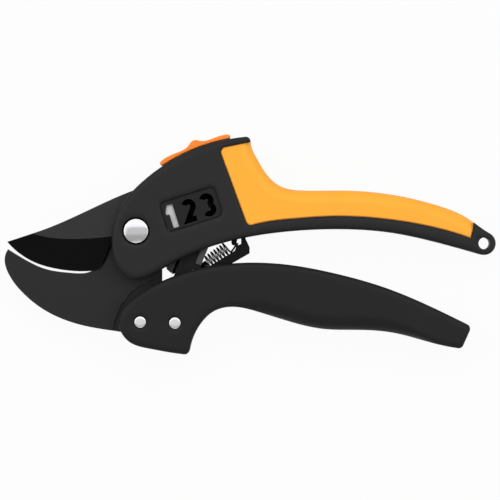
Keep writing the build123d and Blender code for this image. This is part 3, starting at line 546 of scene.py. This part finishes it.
spring_wire_steel = turned("spring_wire_steel", wire_tone, 0.34, main_axis, 4000.0, ring_depth)
print("metal finishes made")

# %% [markdown]
# ### Second colours
# Painted shade darkens the channel behind the numbers, the window's foot, the recess round the bolt
# and the blade's ground bevel, and painted light brightens the rear half of the spring's wire.
# Darker solids could stand in for these, but a mask in the finish leaves the shapes alone. A dark
# place is also made metallic, because a dark metal mirrors only its own dark colour.


# %% Overlay helper
def overlay(material, group, sizes, colour, dulled=0.0):
    """A second colour where a mask group says so, with as much of the dark metal as dulled says."""
    tree = material.node_tree
    shader = tree.nodes["Principled BSDF"]
    base = shader.inputs["Base Color"].links[0].from_socket
    mask = place_node(tree, "Group")
    mask.node_tree = group
    for label, value in sizes.items():
        mask.inputs[label].default_value = value
    over = place_node(tree, "Mix")
    over.data_type = "RGBA"
    over.inputs["B"].default_value = [*colour, 1]
    link_up(
        tree,
        (mask.outputs["Mask"], over.inputs["Factor"]),
        (base, over.inputs["A"]),
        (over.outputs["Result"], shader.inputs["Base Color"]),
    )
    if dulled:
        dull = place_node(tree, "Math", "MULTIPLY_ADD")
        dull.use_clamp = True
        dull.inputs[1].default_value = dulled
        dull.inputs[2].default_value = 0.0
        tree.links.new(mask.outputs["Mask"], dull.inputs[0])
        for link in shader.inputs["Metallic"].links:
            tree.links.new(link.from_socket, dull.inputs[2])
        tree.links.new(dull.outputs[0], shader.inputs["Metallic"])


def round_hollow(centre, reach, top):
    """The sizes of a hollow, in millimetres, as the hollow mask takes them."""
    sizes = {"Centre X": centre[0], "Centre Y": centre[1], "Reach": reach, "Top Level": top}
    return {label: value * mm for label, value in sizes.items()}


print("overlay helper ready")

# %% Hollows, bevel and worn wire
window_hollow = round_hollow(centre=(23.2, 9.2), reach=14.0, top=19.5)
bolt_hollow = round_hollow(centre=main_axis, reach=5.9, top=19.85)
wire_rear = round_hollow(centre=(35.0, -9.0), reach=30.0, top=10.0)
unlit, bevel_shade, rear_wire_light = (0.0006, 0.0006, 0.0006), (0.003, 0.003, 0.0031), (0.7, 0.7, 0.705)
# painted shade: the window's recess and the recess round the bolt are painted black, without sheen
overlay(front_black, hollow_mask, window_hollow, unlit, dulled=1.0)
overlay(front_black, hollow_mask, bolt_hollow, unlit, dulled=1.0)
# painted shade on the blade's ground bevel, darker and with less sheen than the flat
overlay(blade_coat, tilt_mask, {}, bevel_shade, dulled=0.88)
# painted light: the rear half of the spring's wire, below the coil's axis, is painted brighter
overlay(spring_wire_steel, hollow_mask, wire_rear, rear_wire_light)
print("hollows, bevel and wire done")

# %% [markdown]
# ### Edges
# The moulded halves and the handle are softly rounded towards their edges. Fillets that wide would
# eat up the narrow faces of the solids, so the Bevel node rounds only their shading. Handled edges
# are rubbed a little lighter in patches.

# %% Soft and worn edges
soft_radius, coat_patches = 3.2 * mm, {"Patch Scale": 300.0}
worn_plastic, worn_coat = (0.03, 0.03, 0.0305), (0.09, 0.09, 0.092)
worn_grip, worn_lock = (0.8, 0.3, 0.025), (1.0, 0.33, 0.05)
for material in (housing_black, front_black, handle_black):
    tree = material.node_tree
    rounded = place_node(tree, "Bevel")
    rounded.samples = 8
    rounded.inputs["Radius"].default_value = soft_radius
    bump = tree.nodes["Principled BSDF"].inputs["Normal"].links[0].from_node
    tree.links.new(rounded.outputs["Normal"], bump.inputs["Normal"])
for material in (housing_black, front_black, handle_black, guard_black, window_black):
    overlay(material, edge_wear, {}, worn_plastic)
for material in (blade_coat, jaw_coat, link_coat):
    overlay(material, edge_wear, coat_patches, worn_coat)
overlay(grip_orange, edge_wear, {}, worn_grip)
overlay(lock_orange, edge_wear, {}, worn_lock)
print("edges done")

# %% [markdown]
# ### Finish of each solid
# Solids whose shape is right keep it and only take a finish in place of their plain colour. A list
# by the solid's name is easy to read and to change.

# %% Finish of each solid
solid_finishes = {
    "rear_housing": housing_black,
    "front_housing": front_black,
    "spring_lug": guard_black,
    "spring_guard": guard_black,
    "grip_cover": grip_orange,
    "lock_button": lock_orange,
    "lock_catch": plain_steel,
    "digit_window": window_black,
    "step_indicator": indicator_grey,
    "cutting_blade": blade_coat,
    "hook_jaw": jaw_coat,
    "ratchet_link": link_coat,
    "lower_handle": handle_black,
    "jaw_rivet_spacers": spacer_black,
    "link_rivet_spacers": spacer_black,
    "pivot_bolt": bolt_steel,
    "jaw_rivet": jaw_rivet_steel,
    "link_rivet": link_rivet_steel,
    "pivot_nut": plain_steel,
    "thrust_washer": plain_steel,
    "notch_pin": plain_steel,
    "blade_dowel": plain_steel,
    "spring_hook_pin": plain_steel,
    "housing_screws": plain_steel,
    "pivot_bush": bush_brass,
    "link_bush": bush_brass,
    "return_spring": spring_wire_steel,
}
for node, material in solid_finishes.items():
    nodes[node].data.materials.clear()
    nodes[node].data.materials.append(material)
print("finished", len(solid_finishes), "solids of", len(nodes))

# %% [markdown]
# ## Turned pieces
# The bolt, the rivets, the nut's blank and the screws are turned parts. Each starts as a disc at its
# rear end, and the disc is drawn out and scaled step by step along the profile. A spin of the
# profile would give the same form; drawing out keeps both ends closed. The solids have sharp rims,
# and the real heads have rounded ones, which catch the light.

# %% Turning helper
round_sides, turned_angle = 96, math.radians(32)


def turn(name, place, steps):
    """A turned piece from steps of radius and level in millimetres, about a place in X and Y."""
    bpy.ops.object.select_all(action="DESELECT")
    radius, level = steps[0]
    axis = Vector((place[0], place[1], 0.0)) * mm
    bpy.ops.mesh.primitive_circle_add(
        vertices=round_sides,
        radius=radius * mm,
        fill_type="NGON",
        location=axis + Vector((0, 0, level * mm)),
    )
    piece = bpy.context.object
    piece.name = name
    bpy.ops.object.transform_apply(location=True, rotation=True, scale=True)
    bpy.ops.object.mode_set(mode="EDIT")
    bpy.ops.mesh.select_all(action="SELECT")
    for next_radius, next_level in steps[1:]:
        rise = (next_level - level) * mm
        bpy.ops.mesh.extrude_region_move(TRANSFORM_OT_translate={"value": (0, 0, rise)})
        grow = next_radius / radius
        bpy.ops.transform.resize(
            value=(grow, grow, 1), center_override=axis + Vector((0, 0, next_level * mm))
        )
        radius, level = next_radius, next_level
    bpy.ops.mesh.select_all(action="SELECT")
    bpy.ops.mesh.normals_make_consistent(inside=False)
    bpy.ops.object.mode_set(mode="OBJECT")
    bpy.ops.object.shade_smooth_by_angle(angle=turned_angle)
    return piece


print("turning helper ready")


# %% Dressing helper
def dress(piece, body, slot, material, *stand_ins):
    """A finished piece takes its finish, rides on its body and replaces its solids, if it has any."""
    piece.data.materials.clear()
    piece.data.materials.append(material)
    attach(piece, body)
    if stand_ins:
        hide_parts(*stand_ins)
    print(piece.name, len(piece.data.polygons), "faces for", stand_ins)


print("dressing helper ready")

# %% [markdown]
# ### Bolt
# The main bolt's head is a low dome on a short rim. A flattened ball would give the dome, but not the
# rim and the shank with it. The steps follow the shank and the rim, and then a circle's arc up to
# the top in rings of even width.

# %% Bolt
bolt_rim, bolt_rim_level, bolt_top, dome_rings = 5.2, 19.28, 20.2, 14
bolt_rise = bolt_top - bolt_rim_level
bolt_ball = (bolt_rim**2 + bolt_rise**2) / (2 * bolt_rise)
bolt_steps = [(2.9, 0.45), (3.3, 0.6), (3.46, 1.0), (3.46, 18.52), (5.2, 18.52), (5.35, 18.7)]
bolt_steps += [(5.35, 18.98), (5.32, 19.12), (5.27, 19.22)]
for ring in range(dome_rings):
    radius = bolt_rim * (1 - ring / dome_rings)
    bolt_steps.append((radius, bolt_top - bolt_ball + math.sqrt(bolt_ball**2 - radius**2)))
bolt = turn("main_bolt", main_axis, bolt_steps)
dress(bolt, "upper_body", "polished_steel", bolt_steel, "pivot_bolt")

# %% [markdown]
# ### Rivets
# Both rivets go through the whole handle and have a flat rounded head at either end. They are alike,
# so one profile is turned at both places, and its second half mirrors its first.

# %% Rivets
rivet_length = 20.0
rivet_half = [(0.5, 0.03), (1.2, 0.05), (1.8, 0.11), (2.25, 0.2), (2.48, 0.32), (2.58, 0.48)]
rivet_half += [(2.58, 1.18)]
rivet_steps = rivet_half + [(1.86, 1.18), (1.86, 18.82)]
rivet_steps += [(radius, rivet_length - level) for radius, level in reversed(rivet_half)]
rivets = [
    ("jaw_rivet_turned", jaw_rivet_place, jaw_rivet_steel, "jaw_rivet"),
    ("link_rivet_turned", link_rivet_place, link_rivet_steel, "link_rivet"),
]
for name, place, material, node in rivets:
    dress(turn(name, place, rivet_steps), "handle", "polished_steel", material, node)

# %% [markdown]
# ## Nut
# The nut sits on the bolt's rear end and starts as a six-sided prism. A bevel would cut its corners
# flat. On a real nut they are turned, which leaves curved edges, so a coned blank cuts them, and a
# bore takes the bolt.


# %% Cutting helper
def cut_with(piece, tool, operation):
    """Apply a boolean of a tool to a piece and delete the tool."""
    bpy.ops.object.select_all(action="DESELECT")
    bpy.context.view_layer.objects.active = piece
    bpy.ops.object.modifier_add(type="BOOLEAN")
    cut = piece.modifiers[-1]
    cut.operation = operation
    cut.solver = "EXACT"
    cut.object = tool
    bpy.ops.object.modifier_apply(modifier=cut.name)
    bpy.ops.object.select_all(action="DESELECT")
    tool.select_set(True)
    bpy.ops.object.delete()


print("cutting helper ready")

# %% Nut
nut_corner, nut_height, nut_middle = 5.7735 * mm, 2.78 * mm, 1.8 * mm
nut_turn, nut_angle = math.radians(30), math.radians(25)
blank_steps = [(4.7, 0.3), (6.0, 1.05), (6.0, 3.3)]
bore_steps = [(3.9, 0.2), (3.9, 0.42), (3.5, 0.82), (3.5, 3.4)]
bpy.ops.mesh.primitive_cylinder_add(
    vertices=6,
    radius=nut_corner,
    depth=nut_height,
    location=(0, 0, nut_middle),
    rotation=(0, 0, nut_turn),
)
nut = bpy.context.object
nut.name = "bolt_nut"
bpy.ops.object.transform_apply(location=True, rotation=True, scale=True)
cut_with(nut, turn("nut_blank", main_axis, blank_steps), "INTERSECT")
cut_with(nut, turn("nut_bore", main_axis, bore_steps), "DIFFERENCE")
bpy.context.view_layer.objects.active = nut
nut.select_set(True)
bpy.ops.object.shade_smooth_by_angle(angle=nut_angle)
dress(nut, "upper_body", "bright_steel", plain_steel, "pivot_nut")

# %% [markdown]
# ## Screws
# Three screws hold the halves together from the rear. Their heads are rounded, with a cross recess
# that two bars cut. One screw is made and copied to its places, each copy turned differently, as
# screws end up when they are driven home.

# %% One screw
screw_steps = [(0.4, 0.22), (0.9, 0.25), (1.35, 0.36), (1.62, 0.52), (1.76, 0.74), (1.79, 0.95)]
screw_steps += [(1.79, 1.78), (1.18, 1.78), (1.18, 15.4), (0.5, 15.9)]
recess_level, recess_bar = 0.45 * mm, (2.3 * mm, 0.5 * mm, 1.1 * mm)
screw = turn("housing_screw", main_axis, screw_steps)
for quarter in (0, 90):
    bpy.ops.mesh.primitive_cube_add(
        size=1.0, location=(0, 0, recess_level), rotation=(0, 0, math.radians(quarter))
    )
    bar = bpy.context.object
    bar.scale = recess_bar
    bpy.ops.object.transform_apply(location=True, rotation=True, scale=True)
    cut_with(screw, bar, "DIFFERENCE")
print("one screw", len(screw.data.polygons), "faces")

# %% Screw set
screw_places = [((32.97, 31.30), 12.0), ((66.0, 2.9), 41.0), ((92.0, 3.5), 77.0)]
screws = []
for place, angle in screw_places:
    bpy.ops.object.select_all(action="DESELECT")
    bpy.context.view_layer.objects.active = screw
    screw.select_set(True)
    bpy.ops.object.duplicate()
    copy = bpy.context.object
    copy.rotation_euler.z = math.radians(angle)
    copy.location = Vector((place[0], place[1], 0.0)) * mm
    bpy.ops.object.transform_apply(location=True, rotation=True, scale=True)
    screws.append(copy)
bpy.ops.object.select_all(action="DESELECT")
screw.select_set(True)
bpy.ops.object.delete()
for copy in screws:
    copy.select_set(True)
bpy.context.view_layer.objects.active = screws[0]
bpy.ops.object.join()
screw_set = bpy.context.object
screw_set.name = "housing_screw_set"
bpy.ops.object.shade_smooth_by_angle(angle=turned_angle)
dress(screw_set, "upper_body", "bright_steel", plain_steel, "housing_screws")

# %% [markdown]
# ## Spring
# The spring is one wire: a straight lead from the pin in the link, about seven turns, and a hook
# under the lug of the body. A screw modifier would make the turns, but not the lead and the hook in
# one wire. A curve led by points along the wire, with a round bevel, gives it an even thickness. The
# points stand a little outside the real radius because the curve cuts the corners of its points.

# %% Lead and turns of the wire
spring_pin = Vector((23.9, -17.2, 10.2)) * mm
spring_lug = Vector((41.2, -5.0, 10.2)) * mm
spring_along = (spring_lug - spring_pin).normalized()
spring_front = Vector((0, 0, 1))
spring_up = spring_front.cross(spring_along)
coil_radius = 2.4 * mm
coil_start, coil_pitch, points_per_turn = 6.9 * mm, 1.53 * mm, 16
coil_first, coil_last = 6, 120
point_reach = coil_radius * 3 / (2 + math.cos(2 * math.pi / points_per_turn))
lead_lift, lead_reaches = 0.25 * mm, (1.4 * mm, 2.6 * mm, 4.2 * mm, 5.2 * mm)
bend_reach, bend_drop, bend_rise = 6.0 * mm, 1.0 * mm, 1.2 * mm
lead_root = spring_pin + spring_up * lead_lift
wire_points = [lead_root + spring_along * reach for reach in lead_reaches]
bend_foot = spring_pin + spring_along * bend_reach
wire_points.append(bend_foot - spring_up * bend_drop + spring_front * bend_rise)
for step in range(coil_first, coil_last + 1):
    angle = 2 * math.pi * step / points_per_turn
    outward = spring_up * math.cos(angle) + spring_front * math.sin(angle)
    along = coil_start + coil_pitch * (step - coil_first) / points_per_turn
    wire_points.append(spring_pin + spring_along * along + outward * point_reach)
print("lead and turns:", len(wire_points), "points")

# %% Hook of the wire
hook_radius, hook_gap = 1.52 * mm, 0.3 * mm
hook_back, hook_dip = 1.2 * mm, 0.5 * mm
hook_entry = spring_lug - spring_along * hook_back - spring_up * (hook_radius + hook_gap)
wire_points.append(hook_entry - spring_front * hook_dip)
for degrees in (-75, -50, -25, -8, 0):
    angle = math.radians(degrees)
    outward = Vector((math.cos(angle), math.sin(angle), 0))
    wire_points.append(spring_lug + outward * hook_radius)
print("with the hook:", len(wire_points), "points")

# %% Wire
wire_radius, wire_angle = 0.4 * mm, math.radians(40)
bpy.ops.object.select_all(action="DESELECT")
bpy.ops.curve.primitive_nurbs_path_add()
spring = bpy.context.object
spring.name = "spring_coil"
spring.data.splines.clear()
wire = spring.data.splines.new("NURBS")
wire.points.add(len(wire_points) - 1)
for point, place in zip(wire.points, wire_points):
    point.co = (*place, 1.0)
wire.order_u = 4
wire.use_endpoint_u = True
wire.resolution_u = 4
spring.data.dimensions = "3D"
spring.data.bevel_depth = wire_radius
spring.data.bevel_resolution = 4
spring.data.use_fill_caps = True
bpy.ops.object.convert(target="MESH")
spring = bpy.context.object
bpy.ops.object.shade_smooth_by_angle(angle=wire_angle)
dress(spring, "upper_body", "spring_steel", spring_wire_steel, "return_spring")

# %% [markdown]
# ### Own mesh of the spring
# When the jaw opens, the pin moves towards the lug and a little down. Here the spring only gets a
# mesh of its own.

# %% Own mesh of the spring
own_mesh(spring)

# %% [markdown]
# ## Lip of the link
# The link's edge is folded forward into a narrow lip that lies over the spring's first turns, and its
# colour is painted lighter than the plate, a painted highlight. Two joined blocks would leave a seam,
# so it starts as the foot that stands on the link. The foot is drawn up in two steps, and one side of
# its top is drawn out over the spring.

# %% Lip drawn up and out
lip_length, lip_reach, lip_thick = 8.0 * mm, 1.4 * mm, 0.26 * mm
foot_width, foot_height = 1.2 * mm, 0.88 * mm
foot_side = -0.4 * foot_width
bpy.ops.object.select_all(action="DESELECT")
bpy.ops.mesh.primitive_plane_add(size=1.0)
lip = bpy.context.object
lip.name = "link_lip"
bpy.ops.object.mode_set(mode="EDIT")
bpy.ops.mesh.select_all(action="SELECT")
bpy.ops.transform.resize(value=(lip_length, foot_width, 1))
for rise in (foot_height, lip_thick):
    bpy.ops.mesh.extrude_region_move(TRANSFORM_OT_translate={"value": (0, 0, rise)})
bpy.ops.mesh.select_mode(type="FACE")
bpy.ops.mesh.select_all(action="DESELECT")
bpy.ops.object.mode_set(mode="OBJECT")
for face in lip.data.polygons:
    face.select = face.center.z > foot_height and face.center.y < foot_side
bpy.ops.object.mode_set(mode="EDIT")
bpy.ops.mesh.extrude_region_move(TRANSFORM_OT_translate={"value": (0, -lip_reach, 0)})
print("lip drawn up and out")

# %% Lip rounded and placed
lip_middle, lip_turn = Vector((26.91, -10.05, 12.2)) * mm, math.radians(67.98)
lip_edge, trim_angle = 0.06 * mm, math.radians(40)
bpy.ops.mesh.select_all(action="SELECT")
bpy.ops.mesh.normals_make_consistent(inside=False)
bpy.ops.mesh.bevel(offset=lip_edge, segments=2)
bpy.ops.object.mode_set(mode="OBJECT")
lip.rotation_euler.z = lip_turn
lip.location = lip_middle
bpy.ops.object.transform_apply(location=True, rotation=True, scale=True)
bpy.ops.object.shade_smooth_by_angle(angle=trim_angle)
dress(lip, "link", "coated_steel", lip_highlight_grey)

# %% [markdown]
# ## Toe of the guard
# The channel under the spring ends in a thin toe behind the first turns, where the picture shows a
# dark corner. Its outline could be drawn point by point. A slab with three corners cut off by bisect
# keeps straight walls and takes fewer numbers.

# %% Toe of the guard
toe_level, toe_edge, cut_slack = 6.7, 0.1 * mm, 0.001 * mm
toe_middle, toe_size = Vector((28.6, -15.0, toe_level)) * mm, Vector((5.2, 5.2, 0.8)) * mm
toe_cuts = [((31.0, -14.7), (2.3, 2.0)), ((29.0, -12.4), (-1.0, 1.4)), ((26.0, -17.4), (-4.0, 0.6))]
bpy.ops.object.select_all(action="DESELECT")
bpy.ops.mesh.primitive_cube_add(size=1.0, location=toe_middle)
toe = bpy.context.object
toe.name = "guard_toe"
toe.scale = toe_size
bpy.ops.object.transform_apply(location=True, rotation=True, scale=True)
bpy.ops.object.mode_set(mode="EDIT")
for corner, outward in toe_cuts:
    bpy.ops.mesh.select_all(action="SELECT")
    bpy.ops.mesh.bisect(
        plane_co=Vector((*corner, toe_level)) * mm,
        plane_no=Vector((*outward, 0)).normalized(),
        use_fill=True,
        clear_outer=True,
        threshold=cut_slack,
    )
bpy.ops.mesh.select_all(action="SELECT")
bpy.ops.mesh.normals_make_consistent(inside=False)
bpy.ops.mesh.bevel(offset=toe_edge, segments=2)
bpy.ops.object.mode_set(mode="OBJECT")
bpy.ops.object.shade_smooth_by_angle(angle=trim_angle)
dress(toe, "upper_body", "housing", guard_black)
